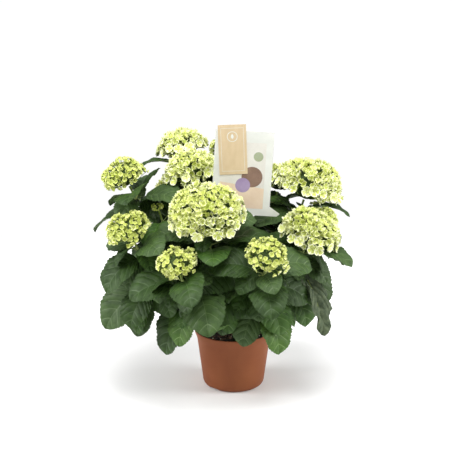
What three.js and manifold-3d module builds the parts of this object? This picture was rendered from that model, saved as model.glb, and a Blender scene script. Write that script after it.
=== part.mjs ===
// A mophead hydrangea in its nursery pot: millimetres, +Z up, origin at the centre of the pot's underside.
// One short woody trunk stands on the compost and carries eight boughs. Each bough ends where its mass of
// foliage begins: leafy shoots with opposite pairs of leaves, and a flower head just over each shoot's tip.
import * as THREE from "three";
import { mergeVertices } from "three/addons/utils/BufferGeometryUtils.js";
import Module from "manifold-3d";

const wasm = await Module();
wasm.setup();
const { Manifold, Mesh: SolidMesh } = wasm;

// ---- Driving dimensions ----------------------------------------------------------------------------------
const SEED = 2024;
const CLEARANCE = 0.3; // gap between two solids that touch
const DEG = Math.PI / 180;
const UP = new THREE.Vector3(0, 0, 1);

const POT = {
  height: 140,
  rimRadius: 95,
  neckRadius: 88, // where the straight wall turns out into the flared rim
  neckHeight: 117,
  heelRadius: 74, // where the straight wall turns in to the base
  heelHeight: 13,
  baseRadius: 64,
  wall: 2.2,
  floor: 7,
  lip: 3,
  segments: 36,
};
const NOTCH = { count: 3, firstAzimuth: -133, width: 28, height: 6, depth: 12 };

const SOIL = { level: 125, crown: 3, flatRadius: 30 }; // the crown is how far the middle stands higher

const TRUNK = { height: 52, footRadius: 15, radius: 8.5, topRadius: 7, lean: new THREE.Vector3(-3, -4, 0) };
const BOUGH = { footRadius: 4.6, tipRadius: 3.7, starts: [0.3, 0.6, 0.9], share: 0.45, rise: 0.4 };
const SHOOT = { footRadius: 3.4, tipRadius: 2.4, sides: 5, steps: 5, fork: 6, thinner: 0.3 };

// The eight boughs. Each has the reach of its low side shoot, which hangs leaves round the pot, and its
// flower heads: where a head's middle stands (azimuth in degrees from +X, reach from the pot's axis, height),
// its width, and the azimuth of its topmost leaf pair.
const BOUGHS = {
  front: {
    skirt: 62,
    heads: [
      { name: "front", azimuth: -108, reach: 200, height: 479, width: 172, pair: 4 },
      { name: "low_left", azimuth: -116, reach: 284, height: 381, width: 88, pair: -85 },
    ],
  },
  front_right: {
    skirt: 52,
    heads: [{ name: "low_right", azimuth: -74, reach: 260, height: 396, width: 98, pair: -165 }],
  },
  right: {
    skirt: 60,
    heads: [
      { name: "right", azimuth: -32, reach: 207, height: 414, width: 142, pair: -20 },
      { name: "upper_right", azimuth: 7, reach: 179, height: 492, width: 170, pair: 175 },
    ],
  },
  back_right: {
    skirt: 75,
    heads: [
      { name: "back_right", azimuth: 54, reach: 190, height: 468, width: 120, pair: 0 },
      { name: "low_back_right", azimuth: 34, reach: 258, height: 375, width: 98, pair: 50 },
    ],
  },
  upper_back: {
    skirt: 70,
    heads: [
      { name: "top", azimuth: 97, reach: 111, height: 560, width: 98, pair: 20 },
      { name: "back", azimuth: 86, reach: 215, height: 490, width: 130, pair: 90 },
    ],
  },
  back_left: {
    skirt: 75,
    heads: [
      { name: "back_left", azimuth: 128, reach: 230, height: 448, width: 112, pair: 150 },
      { name: "low_back", azimuth: 101, reach: 264, height: 386, width: 92, pair: 100 },
    ],
  },
  upper_left: {
    skirt: 90,
    heads: [
      { name: "middle_left", azimuth: 171, reach: 100, height: 526, width: 138, pair: -140 },
      { name: "top_left", azimuth: 134, reach: 181, height: 561, width: 122, pair: -128 },
      { name: "low_back_left", azimuth: 157, reach: 252, height: 374, width: 90, pair: 70 },
    ],
  },
  left: {
    skirt: 140,
    heads: [
      { name: "side_left", azimuth: -148, reach: 282, height: 427, width: 106, pair: -60 },
      { name: "upper_left", azimuth: -175, reach: 254, height: 520, width: 108, pair: -105 },
      { name: "bud", azimuth: -158, reach: 189, height: 459, width: 32, pair: -110 },
    ],
  },
};
const HEAD = {
  tiltPerReach: 0.1, // degrees that a head leans outwards for each millimetre of reach
  squash: 0.75, // height of the dome against its half width
  skirtAngle: 106, // how far round from the top the florets reach
  knob: 11, // width of one facet of the knobbly dome
  knobDepth: 0.1,
  stalk: 20, // bare stalk under the head
  stalkRadius: 2.4,
};

// Nodes are given from the tip of a shoot down: each one's place along the shoot (0 foot, 1 tip), the
// blade's length, and the angles above the level at which the blade starts and ends.
const LEAF_NODES = [
  { place: 0.95, length: 104, rise: 36, fall: -34 },
  { place: 0.76, length: 116, rise: 26, fall: -48 },
  { place: 0.56, length: 122, rise: 12, fall: -58 },
  { place: 0.36, length: 116, rise: 0, fall: -68 },
  { place: 0.15, length: 106, rise: -12, fall: -80 },
];
const LEAF = {
  aspect: 0.8, // width over length
  thickness: 1.5,
  fold: 0.14, // how far the margins stand over the midrib, against the half width
  sections: [0, 0.34, 0.74, 1], // places along the blade where its section is given
  stalk: 24,
  stalkRadius: 1.9,
  follow: 0.4, // how much of its shoot's own lean a leaf takes over, endways
  rollFollow: 0.85, // and sideways
  roll: 12,
  wander: 14,
  lift: 8,
  sizeSpread: 0.2,
};
const SKIRT = { lift: 10, turn: 24, places: [0.95, 0.5], length: 98, rise: 0, fall: -82 };
// One long narrow leaf has wilted and hangs under the right flower head.
const WILTED = { shoot: "right", place: 0.7, azimuth: -30, length: 170, rise: -20, fall: -84, aspect: 0.34 };
// What a leaf tries in turn where its first place is taken, in degrees of turn and lift, and at what size.
const WAYS_ROUND = [0, 16, -16, 32, -32, 48, -48].flatMap((turn) =>
  [0, -14, 14, -28].map((lift) => ({ turn, lift, size: turn === 0 && lift === 0 ? 1 : 0.92 })),
);

// The card that was stuck into the pot: a board with a smaller tag before it, on a flat stake. Each is
// placed by its middle, and turned in its own plane.
const CARD = { width: 134, height: 196, thickness: 1.2, x: 19.5, y: -62, z: 538, turn: 3.4 };
const CARD_FOOT = { width: 24, height: 22 };
const TAG = { width: 64, height: 115, thickness: 0.9, x: -3, z: 593, turn: -2.2 };
const STAKE = { width: 12, thickness: 1.6, x: 3, top: 500, depth: 45, point: 16 };

const COLOURS = {
  pot: 0xa8603f,
  soil: 0x2a1f19,
  bark: 0x7a6646,
  leaf: 0x2f5527,
  petal: 0xd3dd86,
  board: 0xf1f2ec,
  stake: 0x2c4427,
  kraft: 0xdcb78c,
};

// ---- Solids ----------------------------------------------------------------------------------------------
// The same seed always grows the same shrub.
function seededRandom(seed) {
  let state = seed >>> 0;
  return () => {
    state = (state + 0x6d2b79f5) >>> 0;
    let mixed = Math.imul(state ^ (state >>> 15), state | 1);
    mixed ^= mixed + Math.imul(mixed ^ (mixed >>> 7), mixed | 61);
    return ((mixed ^ (mixed >>> 14)) >>> 0) / 2 ** 32;
  };
}
const random = seededRandom(SEED);
const spread = (most) => (random() * 2 - 1) * most;

function welded(geometry) {
  const bare = geometry.clone();
  bare.deleteAttribute("normal");
  bare.deleteAttribute("uv");
  return mergeVertices(bare, 1e-4);
}

function solidOf(geometry) {
  const merged = welded(geometry);
  return new Manifold(
    new SolidMesh({
      numProp: 3,
      vertProperties: new Float32Array(merged.attributes.position.array),
      triVerts: new Uint32Array(merged.index.array),
    }),
  );
}

const shrub = new THREE.Group();
function addNode(name, solid, colour, roughness) {
  const shape = solid.getMesh();
  const geometry = new THREE.BufferGeometry()
    .setAttribute("position", new THREE.BufferAttribute(new Float32Array(shape.vertProperties), 3))
    .setIndex(new THREE.BufferAttribute(new Uint32Array(shape.triVerts), 1));
  geometry.computeVertexNormals();
  const material = new THREE.MeshStandardMaterial({ color: colour, roughness, metalness: 0 });
  const mesh = new THREE.Mesh(geometry, material);
  mesh.name = name;
  shrub.add(mesh);
}

// A profile of [radius, height] pairs, given from the foot of the axis outwards and up, turned about Z.
function turned(profile, segments) {
  const points = profile.map(([radius, height]) => new THREE.Vector2(radius, height));
  return new THREE.LatheGeometry(points, segments).rotateX(Math.PI / 2);
}

// A tapering limb: a cylinder with closed ends, bent along a curve.
function limb(curve, radiusAt, sides, steps) {
  const geometry = new THREE.CylinderGeometry(1, 1, 1, sides, steps);
  const { normals, binormals } = curve.computeFrenetFrames(steps, false);
  const position = geometry.attributes.position;
  const point = new THREE.Vector3();
  for (let i = 0; i < position.count; i++) {
    point.fromBufferAttribute(position, i);
    const along = point.y + 0.5;
    const step = Math.round(along * steps);
    const radius = radiusAt(along);
    const place = curve
      .getPointAt(along)
      .addScaledVector(normals[step], point.x * radius)
      .addScaledVector(binormals[step], -point.z * radius);
    position.setXYZ(i, place.x, place.y, place.z);
  }
  return solidOf(geometry);
}

const taper = (foot, tip) => (along) => foot + (tip - foot) * along;
const heading = (azimuth) => new THREE.Vector3(Math.cos(azimuth * DEG), Math.sin(azimuth * DEG), 0);

// A curve that leaves `from` along `out` and arrives at `to` along `into`.
function bend(from, out, to, into) {
  const span = from.distanceTo(to);
  const first = from.clone().addScaledVector(out, span * 0.4);
  const last = to.clone().addScaledVector(into, -span * 0.35);
  return new THREE.CubicBezierCurve3(from, first, last, to);
}

// ---- Pot and compost -------------------------------------------------------------------------------------
// A thin moulded pot with a rounded heel, a straight tapering wall and a flared rim.
function potProfile(inset) {
  const heelSteps = 3;
  const heel = [];
  for (let i = 0; i <= heelSteps; i++) {
    const angle = (i / heelSteps) * 90 * DEG;
    const radius = POT.baseRadius + (POT.heelRadius - POT.baseRadius) * Math.sin(angle) - inset;
    heel.push([radius, POT.heelHeight * (1 - Math.cos(angle))]);
  }
  return [...heel, [POT.neckRadius - inset, POT.neckHeight], [POT.rimRadius - inset, POT.height - POT.lip]];
}

function makePot() {
  const inside = potProfile(POT.wall).filter(([, height]) => height > POT.floor);
  const profile = [
    [0, 0],
    ...potProfile(0),
    [POT.rimRadius, POT.height],
    [POT.rimRadius - POT.wall, POT.height],
    ...inside.reverse(),
    [POT.baseRadius, POT.floor],
    [0, POT.floor],
  ];
  let pot = solidOf(turned(profile, POT.segments));
  for (let i = 0; i < NOTCH.count; i++) {
    const azimuth = NOTCH.firstAzimuth + (360 / NOTCH.count) * i;
    const cutter = new THREE.BoxGeometry(2 * NOTCH.depth, NOTCH.width, 2 * NOTCH.height)
      .translate(POT.heelRadius, 0, 0)
      .rotateZ(azimuth * DEG);
    pot = pot.subtract(solidOf(cutter));
  }
  return pot;
}

// The compost fills the pot to a finger's breadth under its rim.
function makeSoil() {
  const inset = POT.wall + 0.5;
  const foot = POT.floor + CLEARANCE;
  const inFlare = (SOIL.level - POT.neckHeight) / (POT.height - POT.lip - POT.neckHeight);
  const edge = POT.neckRadius + (POT.rimRadius - POT.neckRadius) * inFlare - inset;
  const side = potProfile(inset).filter(([, height]) => height > foot && height < SOIL.level);
  const profile = [
    [0, foot],
    [POT.baseRadius - 1, foot],
    ...side,
    [edge, SOIL.level],
    [SOIL.flatRadius, SOIL.level + SOIL.crown],
    [0, SOIL.level + SOIL.crown],
  ];
  return solidOf(turned(profile, POT.segments));
}

// ---- Trunk and boughs ------------------------------------------------------------------------------------
const TRUNK_FOOT = new THREE.Vector3(0, 0, SOIL.level + SOIL.crown + CLEARANCE);
const TRUNK_CURVE = new THREE.QuadraticBezierCurve3(
  TRUNK_FOOT,
  TRUNK_FOOT.clone().addScaledVector(UP, TRUNK.height / 2),
  TRUNK_FOOT.clone().add(TRUNK.lean).addScaledVector(UP, TRUNK.height),
);

function makeTrunk(grown) {
  const flare = TRUNK.footRadius - TRUNK.radius;
  const straight = taper(TRUNK.radius, TRUNK.topRadius);
  return limb(TRUNK_CURVE, (along) => straight(along) + flare * Math.max(0, 1 - along * 4) ** 2 + grown, 10, 8);
}

const headPlace = (head) => heading(head.azimuth).multiplyScalar(head.reach).setZ(head.height);
function headAxis(head) {
  const tilt = HEAD.tiltPerReach * head.reach * DEG;
  return heading(head.azimuth).multiplyScalar(Math.sin(tilt)).addScaledVector(UP, Math.cos(tilt));
}
const stalkDrop = (head) => HEAD.stalk + (head.width / 2) * HEAD.squash * 0.6;
const shootTip = (head) => headPlace(head).addScaledVector(headAxis(head), -stalkDrop(head));

// A bough leaves the trunk's side and ends part of the way to the middle of its flower heads.
function boughCurve(heads, index) {
  const middle = new THREE.Vector3();
  heads.forEach((head) => middle.addScaledVector(shootTip(head), 1 / heads.length));
  const start = TRUNK_CURVE.getPointAt(BOUGH.starts[index % BOUGH.starts.length]);
  const tip = middle.clone().multiplyScalar(BOUGH.share).setZ(start.z + (middle.z - start.z) * BOUGH.rise);
  const leave = middle.clone().setZ(0).normalize().addScaledVector(UP, 0.55).normalize();
  return bend(start, leave, tip, middle.sub(tip).normalize());
}

// ---- Flower heads ----------------------------------------------------------------------------------------
// Stands a head's geometry, made with its middle at the origin and its axis along +Z, in its place.
function standHead(geometry, head) {
  const turn = new THREE.Quaternion().setFromUnitVectors(UP, headAxis(head));
  return geometry.applyQuaternion(turn).translate(...headPlace(head).toArray());
}

// The dome of florets on its stalk, in one turned solid; `grown` makes it larger all round.
function headProfile(head, grown) {
  const radius = head.width / 2 + grown;
  const height = (head.width / 2) * HEAD.squash + grown;
  const stalk = HEAD.stalkRadius + grown;
  const rings = Math.max(4, Math.round(head.width / HEAD.knob / 2));
  const profile = [
    [0, CLEARANCE - stalkDrop(head)],
    [stalk, CLEARANCE - stalkDrop(head)],
    [stalk, -height * 0.7],
    [radius * 0.62, -height * 0.5],
  ];
  for (let ring = 0; ring < rings; ring++) {
    const angle = HEAD.skirtAngle * (1 - ring / rings) * DEG;
    profile.push([radius * Math.sin(angle), height * Math.cos(angle)]);
  }
  profile.push([0, height]);
  return profile;
}

function makeHead(head) {
  const segments = Math.max(7, Math.round(head.width / HEAD.knob));
  const geometry = welded(turned(headProfile(head, 0), segments));
  const position = geometry.attributes.position;
  const point = new THREE.Vector3();
  const underside = -(head.width / 2) * HEAD.squash * 0.45;
  for (let i = 0; i < position.count; i++) {
    point.fromBufferAttribute(position, i);
    if (point.z < underside) continue;
    point.multiplyScalar(1 - HEAD.knobDepth * random());
    position.setXYZ(i, point.x, point.y, point.z);
  }
  return solidOf(standHead(geometry, head));
}

// ---- Leaves ----------------------------------------------------------------------------------------------
// Half the blade's width along its length, as a share of the widest: rounded at the foot, pointed at the tip.
const bladeHalf = (along) => Math.sin(Math.PI * (0.05 + 0.95 * along) ** 0.8) ** 0.65;

// A place along the midrib, which is an arc in the upright plane of the leaf's azimuth.
function midrib(leaf, along) {
  const rise = leaf.rise * DEG;
  const sweep = (leaf.fall - leaf.rise) * DEG;
  const angle = rise + sweep * along;
  const out = (leaf.length / sweep) * (Math.sin(angle) - Math.sin(rise));
  const up = (-leaf.length / sweep) * (Math.cos(angle) - Math.cos(rise));
  const place = leaf.root.clone().addScaledVector(heading(leaf.azimuth), out).addScaledVector(UP, up);
  return { place, angle };
}

// One leaf: its stalk starts at `from`, inside the shoot, and widens into a blade of diamond sections.
function makeLeaf(leaf, from, grown) {
  const stations = LEAF.sections.length;
  const geometry = new THREE.ConeGeometry(1, 1, 4, stations);
  const position = geometry.attributes.position;
  const point = new THREE.Vector3();
  const out = heading(leaf.azimuth);
  for (let i = 0; i < position.count; i++) {
    point.fromBufferAttribute(position, i);
    const station = Math.round((point.y + 0.5) * stations);
    const along = station ? LEAF.sections[station - 1] : 0;
    const { place, angle } = midrib(leaf, along);
    if (!station) place.copy(from);
    const onAxis = Math.hypot(point.x, point.z) < 1e-6;
    const across = onAxis ? 0 : Math.sign(Math.round(point.x * 10));
    const through = onAxis ? 0 : -Math.sign(Math.round(point.z * 10));
    const widest = (leaf.length * leaf.aspect) / 2;
    const half = station < 2 ? LEAF.stalkRadius + grown : widest * bladeHalf(along) + grown;
    const thick = station < 2 ? LEAF.stalkRadius + grown : LEAF.thickness / 2 + grown;
    const tangent = out.clone().multiplyScalar(Math.cos(angle)).addScaledVector(UP, Math.sin(angle));
    const side = new THREE.Vector3().crossVectors(UP, out).applyAxisAngle(tangent, leaf.roll * DEG);
    const normal = new THREE.Vector3().crossVectors(tangent, side);
    place.addScaledVector(side, across * half);
    place.addScaledVector(normal, through * thick + (station < 2 ? 0 : Math.abs(across) * half * LEAF.fold));
    position.setXYZ(i, place.x, place.y, place.z);
  }
  return solidOf(geometry);
}

// Everything that a leaf keeps clear of, each with its box for a quick first test.
const taken = [];
const claim = (solid) => taken.push({ solid, box: solid.boundingBox() });
function isClear(solid) {
  const box = solid.boundingBox();
  const isApart = (other) =>
    [0, 1, 2].some((axis) => box.min[axis] > other.max[axis] || other.min[axis] > box.max[axis]);
  return taken.every((other) => isApart(other.box) || solid.intersect(other.solid).isEmpty());
}

// One leaf in the first place where it touches nothing, or none where it finds no place.
function growLeaf(curve, node, azimuth) {
  const from = curve.getPointAt(node.place);
  const lean = curve.getTangentAt(node.place);
  const turn = spread(LEAF.wander);
  const lift = spread(LEAF.lift);
  const twist = spread(LEAF.roll);
  const length = node.length * (1 + spread(LEAF.sizeSpread / 2));
  for (const way of WAYS_ROUND) {
    const towards = heading(azimuth + turn + way.turn);
    const sideways = new THREE.Vector3().crossVectors(UP, towards);
    const tipped = lift + way.lift - (LEAF.follow * Math.asin(lean.dot(towards))) / DEG;
    const roll = twist - (LEAF.rollFollow * Math.asin(lean.dot(sideways))) / DEG;
    const leaf = {
      azimuth: azimuth + turn + way.turn,
      rise: node.rise + tipped,
      fall: Math.max(node.fall + tipped, -88),
      roll,
      length: length * way.size,
      aspect: node.aspect ?? LEAF.aspect,
    };
    const upwards = 0.6 * leaf.rise * DEG;
    const stalk = towards.multiplyScalar(Math.cos(upwards)).addScaledVector(UP, Math.sin(upwards));
    leaf.root = from.clone().addScaledVector(stalk, LEAF.stalk);
    // The stalk's own foot is left out of the test, because it has to run into the shoot.
    const outside = from.clone().addScaledVector(stalk, SHOOT.footRadius + 3);
    const room = makeLeaf(leaf, outside, 0.8);
    if (!isClear(room)) continue;
    claim(room);
    return [makeLeaf(leaf, from, 0)];
  }
  return [];
}

// ---- Card ------------------------------------------------------------------------------------------------
// Stands a flat outline upright at a depth, turned in its own plane.
function upright(outline, thickness, { x, z, turn }, y) {
  const plate = new THREE.ExtrudeGeometry(new THREE.Shape(outline), { depth: thickness, bevelEnabled: false });
  plate.translate(0, 0, -thickness / 2).rotateX(Math.PI / 2).rotateY(turn * DEG).translate(x, y, z);
  return solidOf(plate);
}
const outlineOf = (pairs) => pairs.map(([x, y]) => new THREE.Vector2(x, y));

// The board has a small foot splayed out at its lower right corner.
function makeBoard() {
  const right = CARD.width / 2;
  const top = CARD.height / 2;
  const outline = outlineOf([
    [-right, -top],
    [right - CARD_FOOT.width, -top],
    [right + CARD_FOOT.width * 0.75, -top],
    [right + CARD_FOOT.width, CARD_FOOT.height * 0.3 - top],
    [right, CARD_FOOT.height - top],
    [right, top],
    [-right, top],
  ]);
  return upright(outline, CARD.thickness, CARD, CARD.y);
}

function makeTag() {
  const right = TAG.width / 2;
  const top = TAG.height / 2;
  const outline = outlineOf([[-right, -top], [right, -top], [right, top], [-right, top]]);
  return upright(outline, TAG.thickness, TAG, CARD.y - (CARD.thickness + TAG.thickness) / 2 - CLEARANCE);
}

function makeStake(grown) {
  const right = STAKE.width / 2 + grown;
  const foot = SOIL.level - STAKE.depth - grown;
  const outline = outlineOf([
    [0, foot],
    [right, foot + STAKE.point],
    [right, STAKE.top],
    [-right, STAKE.top],
    [-right, foot + STAKE.point],
  ]);
  const y = CARD.y + (CARD.thickness + STAKE.thickness) / 2 + CLEARANCE;
  return upright(outline, STAKE.thickness + 2 * grown, { x: STAKE.x, z: 0, turn: 0 }, y);
}

// ---- Building --------------------------------------------------------------------------------------------
const pot = makePot();
const soil = makeSoil().subtract(makeStake(CLEARANCE));
const trunk = makeTrunk(0);
const card = makeBoard();
const tag = makeTag();
const stake = makeStake(0);
[pot, soil, trunk, card, tag, stake].forEach(claim);

addNode("pot", pot, COLOURS.pot, 0.55);
addNode("soil", soil, COLOURS.soil, 0.95);
addNode("trunk", trunk, COLOURS.bark, 0.8);
addNode("card_board", card, COLOURS.board, 0.6);
addNode("card_tag", tag, COLOURS.kraft, 0.8);
addNode("card_stake", stake, COLOURS.stake, 0.6);

// All limbs and flower heads come first, so that every leaf can keep clear of them.
const trunkRoom = makeTrunk(CLEARANCE);
const masses = Object.entries(BOUGHS).map(([name, { skirt, heads }], index) => {
  const curve = boughCurve(heads, index);
  const bough = limb(curve, taper(BOUGH.footRadius, BOUGH.tipRadius), 6, 5).subtract(trunkRoom);
  claim(bough);
  addNode(`bough_${name}`, bough, COLOURS.bark, 0.75);

  // The first shoot stands on the bough's tip, and the others fork out of it a little higher each.
  const onward = curve.getTangentAt(1);
  const foot = curve.getPointAt(1).addScaledVector(onward, CLEARANCE);
  const fork = (order) => foot.clone().addScaledVector(onward, SHOOT.fork * order);
  const shoots = heads.map((head, order) => ({
    name: head.name,
    curve: bend(fork(order), onward, shootTip(head), headAxis(head)),
    pair: head.pair,
    nodes: LEAF_NODES,
  }));
  const side = onward.clone().setZ(0).normalize();
  side.applyAxisAngle(UP, (index % 2 ? 1 : -1) * SKIRT.turn * DEG);
  const lowTip = foot.clone().addScaledVector(side, skirt).addScaledVector(UP, SKIRT.lift);
  shoots.push({
    name: "skirt",
    curve: bend(fork(heads.length), onward, lowTip, side),
    pair: Math.atan2(side.y, side.x) / DEG,
    nodes: SKIRT.places.map((place) => ({ ...SKIRT, place })),
  });
  const stems = shoots.map((shoot, order) => {
    const radiusAt = taper(SHOOT.footRadius - SHOOT.thinner * order, SHOOT.tipRadius);
    return limb(shoot.curve, radiusAt, SHOOT.sides, SHOOT.steps);
  });
  stems.forEach(claim);
  return { name, shoots, pieces: stems };
});
for (const head of Object.values(BOUGHS).flatMap((bough) => bough.heads)) {
  claim(solidOf(standHead(turned(headProfile(head, 1.5), 16), head)));
  addNode(`flower_head_${head.name}`, makeHead(head), COLOURS.petal, 0.7);
}

for (const { shoots, pieces } of masses) {
  const wilting = shoots.find((shoot) => shoot.name === WILTED.shoot);
  if (wilting) pieces.push(...growLeaf(wilting.curve, WILTED, WILTED.azimuth));
}
// Opposite leaves in pairs, each pair square to the one above it.
for (let level = 0; level < LEAF_NODES.length; level++) {
  for (const { shoots, pieces } of masses) {
    for (const { curve, pair, nodes } of shoots.filter((shoot) => level < shoot.nodes.length)) {
      for (const half of [0, 180]) pieces.push(...growLeaf(curve, nodes[level], pair + 90 * level + half));
    }
  }
}
// Each mass is joined into one solid; slivers shorter than a hundredth of a millimetre are taken out of it.
for (const { name, pieces } of masses) {
  addNode(`foliage_${name}`, Manifold.union(pieces).simplify(0.01), COLOURS.leaf, 0.5);
}

export default shrub;
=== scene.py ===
import math
from collections import namedtuple

import bmesh
import bpy
import numpy as np
from mathutils import Matrix, Vector, noise
from mathutils.bvhtree import BVHTree


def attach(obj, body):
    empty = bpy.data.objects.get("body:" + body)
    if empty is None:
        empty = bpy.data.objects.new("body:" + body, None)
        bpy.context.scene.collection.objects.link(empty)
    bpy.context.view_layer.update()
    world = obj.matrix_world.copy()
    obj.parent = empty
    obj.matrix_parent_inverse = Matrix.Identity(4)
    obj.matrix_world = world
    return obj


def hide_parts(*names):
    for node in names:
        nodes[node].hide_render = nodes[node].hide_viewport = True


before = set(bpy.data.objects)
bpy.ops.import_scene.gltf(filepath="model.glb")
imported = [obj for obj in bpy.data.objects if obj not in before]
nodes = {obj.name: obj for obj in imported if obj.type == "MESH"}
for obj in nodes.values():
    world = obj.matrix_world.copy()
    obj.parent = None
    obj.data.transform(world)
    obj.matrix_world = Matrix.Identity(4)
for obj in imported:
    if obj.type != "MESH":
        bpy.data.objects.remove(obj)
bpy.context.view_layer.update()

MM = 0.001

# ---- Pot ---------------------------------------------------------------------------------------------------
# The nursery pot is injection moulded in thin brown-orange polypropylene: a flat base, a rounded heel, a
# straight tapering wall and a rim that flares out to a rolled lip. Three drain notches are cut in the heel.
# It stands loose on its base and carries everything else.
POT_OUTSIDE = [
    (0, 0), (40, 0), (63, 0), (66.5, 0.7), (69.6, 2.6), (71.9, 5.6), (73.4, 9.4), (74.4, 13.4), (76.2, 28),
    (79.6, 54), (83.4, 83), (86.9, 109), (87.9, 115.6), (88.6, 119.0), (90.6, 125.2), (93.1, 132.0),
    (94.4, 136.4), (94.9, 138.2), (94.6, 139.4), (93.9, 140), (93.2, 139.8), (92.7, 139.0),
]
POT_INSIDE = [
    (92.3, 136.6), (90.6, 131), (86.4, 119), (85.2, 112), (81.2, 83), (74.6, 32), (71.9, 13), (69.6, 9.4),
    (64, 7), (0, 7),
]
POT_AROUND, POT_CREASE = 96, 50
NOTCH = {"azimuths": (-133, -13, 107), "deep": 24, "width": 28, "height": 6, "corner": 3, "reach": 74}


def turned(profile, around):
    """A profile of (radius, height) pairs from axis to axis, spun about +Z into one closed shape."""
    shape = bmesh.new()
    chain = [shape.verts.new((radius, 0, height)) for radius, height in profile]
    sides = [shape.edges.new(pair) for pair in zip(chain, chain[1:])]
    bmesh.ops.spin(
        shape, geom=chain + sides, cent=(0, 0, 0), axis=(0, 0, 1), angle=math.tau, steps=around,
        use_merge=True,
    )
    bmesh.ops.remove_doubles(shape, verts=shape.verts, dist=1e-4)
    bmesh.ops.dissolve_degenerate(shape, edges=shape.edges, dist=1e-5)
    bmesh.ops.recalc_face_normals(shape, faces=shape.faces)
    return shape


def mottle_group():
    """Two tones in soft patches with a finer grain, the same whichever way the surface faces."""
    group = bpy.data.node_groups.new("mottle", "ShaderNodeTree")
    for label, kind, value in (
        ("Dark", "Color", (0.1, 0.1, 0.1, 1)), ("Light", "Color", (0.2, 0.2, 0.2, 1)),
        ("Patches", "Float", 40), ("Grain", "Float", 400), ("Share", "Float", 0.4),
        ("Stretch", "Vector", (1, 1, 1)), ("Dull", "Float", 0.6), ("Glossy", "Float", 0.4),
    ):
        socket = group.interface.new_socket(label, in_out="INPUT", socket_type=f"NodeSocket{kind}")
        socket.default_value = value
    for label, kind in (("Colour", "Color"), ("Roughness", "Float"), ("Height", "Float")):
        group.interface.new_socket(label, in_out="OUTPUT", socket_type=f"NodeSocket{kind}")
    given, made, place, stretch, patches, grain, both, level, tone, gloss = (
        group.nodes.new(kind)
        for kind in (
            "NodeGroupInput", "NodeGroupOutput", "ShaderNodeTexCoord", "ShaderNodeVectorMath",
            "ShaderNodeTexNoise", "ShaderNodeTexNoise", "ShaderNodeMix", "ShaderNodeMapRange",
            "ShaderNodeMix", "ShaderNodeMapRange",
        )
    )
    stretch.operation, tone.data_type = "MULTIPLY", "RGBA"
    patches.inputs["Detail"].default_value, grain.inputs["Detail"].default_value = 3, 4
    level.inputs["From Min"].default_value, level.inputs["From Max"].default_value = 0.36, 0.64
    for source, output, target, socket in (
        (place, "Object", stretch, 0), (given, "Stretch", stretch, 1),
        (stretch, 0, patches, "Vector"), (given, "Patches", patches, "Scale"),
        (stretch, 0, grain, "Vector"), (given, "Grain", grain, "Scale"),
        (given, "Share", both, "Factor"), (patches, "Fac", both, "A"), (grain, "Fac", both, "B"),
        (both, "Result", level, "Value"), (level, "Result", tone, "Factor"),
        (given, "Dark", tone, "A"), (given, "Light", tone, "B"),
        (level, "Result", gloss, "Value"), (given, "Dull", gloss, "To Min"),
        (given, "Glossy", gloss, "To Max"), (tone, "Result", made, "Colour"),
        (gloss, "Result", made, "Roughness"), (grain, "Fac", made, "Height"),
    ):
        group.links.new(source.outputs[output], target.inputs[socket])
    return group


mottle = mottle_group()


def paint(colour):
    """A colour in sRGB bytes as a shader's linear colour."""
    return (*[(part / 255) ** 2.2 for part in colour], 1)


def finish_of(name, dark, light, patches, grain, dull, glossy, relief, share=0.4, stretch=(1, 1, 1), **shine):
    """A finish in two mottled tones, given in sRGB bytes, with its fine relief in millimetres."""
    finish = bpy.data.materials.new(name)
    finish.use_nodes = True
    finish.diffuse_color = paint(light)
    tree = finish.node_tree
    coat = tree.nodes["Principled BSDF"]
    tones, bump = tree.nodes.new("ShaderNodeGroup"), tree.nodes.new("ShaderNodeBump")
    tones.node_tree = mottle
    for label, value in (
        ("Dark", paint(dark)), ("Light", paint(light)), ("Patches", patches), ("Grain", grain),
        ("Share", share), ("Stretch", stretch), ("Dull", dull), ("Glossy", glossy),
    ):
        tones.inputs[label].default_value = value
    bump.inputs["Distance"].default_value = relief * MM
    tree.links.new(tones.outputs["Height"], bump.inputs["Height"])
    tree.links.new(bump.outputs["Normal"], coat.inputs["Normal"])
    tree.links.new(tones.outputs["Colour"], coat.inputs["Base Color"])
    tree.links.new(tones.outputs["Roughness"], coat.inputs["Roughness"])
    for socket, value in shine.items():
        coat.inputs[socket.replace("_", " ")].default_value = value
    return finish


def in_scene(name, data):
    """A new object in the scene, made from a mesh, a lamp or a camera."""
    thing = bpy.data.objects.new(name, data)
    bpy.context.scene.collection.objects.link(thing)
    return thing


def place_piece(name, mesh, finishes, stands_for=(), crease=40):
    """Puts a finished mesh in the scene as a named piece of the plant."""
    piece = in_scene(name, mesh)
    for finish in finishes:
        mesh.materials.append(finish)
    mesh.shade_smooth()
    mesh.set_sharp_from_angle(angle=math.radians(crease))
    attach(piece, "root")
    if stands_for:
        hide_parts(*stands_for)
    return piece


def mesh_of(name, shape):
    """A bmesh in millimetres as a mesh in metres."""
    bmesh.ops.scale(shape, vec=(MM, MM, MM), verts=shape.verts)
    mesh = bpy.data.meshes.new(name)
    shape.to_mesh(mesh)
    shape.free()
    return mesh


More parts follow.
